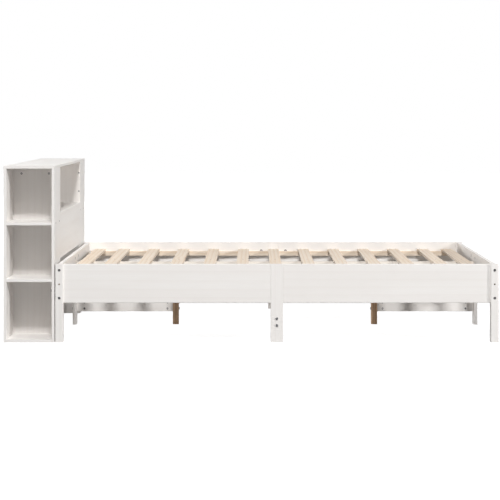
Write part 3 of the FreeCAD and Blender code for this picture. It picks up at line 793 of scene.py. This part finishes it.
def seenStraight(tree, place):
    # 1 for what the camera sees, straight on or in gloss or glass
    path = addNode(tree, "ShaderNodeLightPath", place)
    seen = path.outputs["Is Camera Ray"]
    for step, kind in enumerate(("Is Glossy Ray", "Is Transmission Ray"), start=1):
        seen = maths(tree, "MAXIMUM", seen, path.outputs[kind], (place[0] + 200 * step, place[1]))
    return seen


def mixShaders(tree, factor, first, second, place):
    mix = addNode(tree, "ShaderNodeMixShader", place)
    for shader, socket in zip((factor, first, second), mix.inputs):
        tree.links.new(shader, socket)
    return mix.outputs[0]


def makeFloor():
    bpy.ops.mesh.primitive_plane_add(size=floorLook["size"], location=(0, 0, -floorLook["drop"]))
    floor = bpy.context.object
    floor.name = "floor"
    material, tree = newMaterial("studioFloor")
    tree.nodes.clear()
    bounce = addNode(tree, "ShaderNodeBsdfDiffuse", (-200, 0))
    setInput(bounce, "Color", grey(floorLook["bounce"]))
    catch = addNode(tree, "ShaderNodeBsdfDiffuse", (-200, -150))
    setInput(catch, "Color", grey(floorLook["shadowCatch"]))
    # far from the bed the lamps fade, so the floor's own glow makes up for it
    texCoord = addNode(tree, "ShaderNodeTexCoord", (-800, -300))
    away = addNode(tree, "ShaderNodeVectorMath", (-600, -300), operation="LENGTH")
    tree.links.new(texCoord.outputs["Object"], away.inputs[0])
    strength = ranged(tree, away.outputs["Value"], floorLook["near"], floorLook["far"], floorLook["glow"],
                      floorLook["farGlow"], (-400, -300))
    glow = addNode(tree, "ShaderNodeEmission", (-200, -300))
    tree.links.new(strength, glow.inputs["Strength"])
    shown = addNode(tree, "ShaderNodeAddShader", (0, -200))
    tree.links.new(catch.outputs[0], shown.inputs[0])
    tree.links.new(glow.outputs[0], shown.inputs[1])
    seen = seenStraight(tree, (-600, 300))
    surface = mixShaders(tree, seen, bounce.outputs[0], shown.outputs[0], (300, 0))
    output = addNode(tree, "ShaderNodeOutputMaterial", (600, 0))
    tree.links.new(surface, output.inputs["Surface"])
    floor.data.materials.append(material)


worldLook = dict(fill=0.05, shown=1.0)


def makeWorld():
    world = bpy.data.worlds.new("studio")
    bpy.context.scene.world = world
    world.use_nodes = True
    tree = world.node_tree
    tree.nodes.clear()
    backgrounds = []
    for step, strength in enumerate((worldLook["fill"], worldLook["shown"])):
        background = addNode(tree, "ShaderNodeBackground", (0, -150 * step))
        setInput(background, "Strength", strength)
        setInput(background, "Color", grey(1.0))
        backgrounds.append(background.outputs[0])
    surface = mixShaders(tree, seenStraight(tree, (-600, 200)), *backgrounds, (300, 0))
    output = addNode(tree, "ShaderNodeOutputWorld", (600, 0))
    tree.links.new(surface, output.inputs["Surface"])


studioLamps = {
    "keyLamp": dict(place=(0.0, -7.2, 8.5), aim=(0.0, 0.0, 0.3), size=(1.9, 1.0), power=930),
    "sideLamp": dict(place=(13.0, -7.0, 5.0), aim=(0.0, 0.0, 0.4), size=(1.4, 1.4), power=1110),
    "headLamp": dict(place=(-11.5, 0.6, 1.3), aim=(0.0, 0.0, 0.5), size=(2.0, 1.0), power=400),
    "farLamp": dict(place=(-5.0, 11.0, 1.8), aim=(0.0, 0.0, 0.4), size=(2.0, 1.4), power=500),
}


def makeLamps():
    for name, lamp in studioLamps.items():
        data = bpy.data.lights.new(name, "AREA")
        data.shape = "RECTANGLE"
        data.size, data.size_y = lamp["size"]
        data.energy = lamp["power"]
        light = bpy.data.objects.new(name, data)
        bpy.context.collection.objects.link(light)
        light.location = lamp["place"]
        gaze = Vector(lamp["aim"]) - Vector(lamp["place"])
        light.rotation_euler = gaze.to_track_quat("-Z", "Y").to_euler()


cameraView = dict(
    place=(0.0063, -7.577, 1.044), lens=108.07, sensor=36.0, shiftX=-0.005, shiftY=-0.266, clipEnd=100)


def makeCamera():
    data = bpy.data.cameras.new("camera")
    data.sensor_width = cameraView["sensor"]
    data.lens = cameraView["lens"]
    data.shift_x = cameraView["shiftX"]
    data.shift_y = cameraView["shiftY"]
    data.clip_end = cameraView["clipEnd"]
    camera = bpy.data.objects.new("camera", data)
    bpy.context.collection.objects.link(camera)
    camera.location = cameraView["place"]
    camera.rotation_euler = (radians(90), 0, 0)
    bpy.context.scene.camera = camera


makeFloor()
makeWorld()
makeLamps()
makeCamera()
bpy.context.scene.view_settings.view_transform = "Standard"
print("floor, light and camera set")
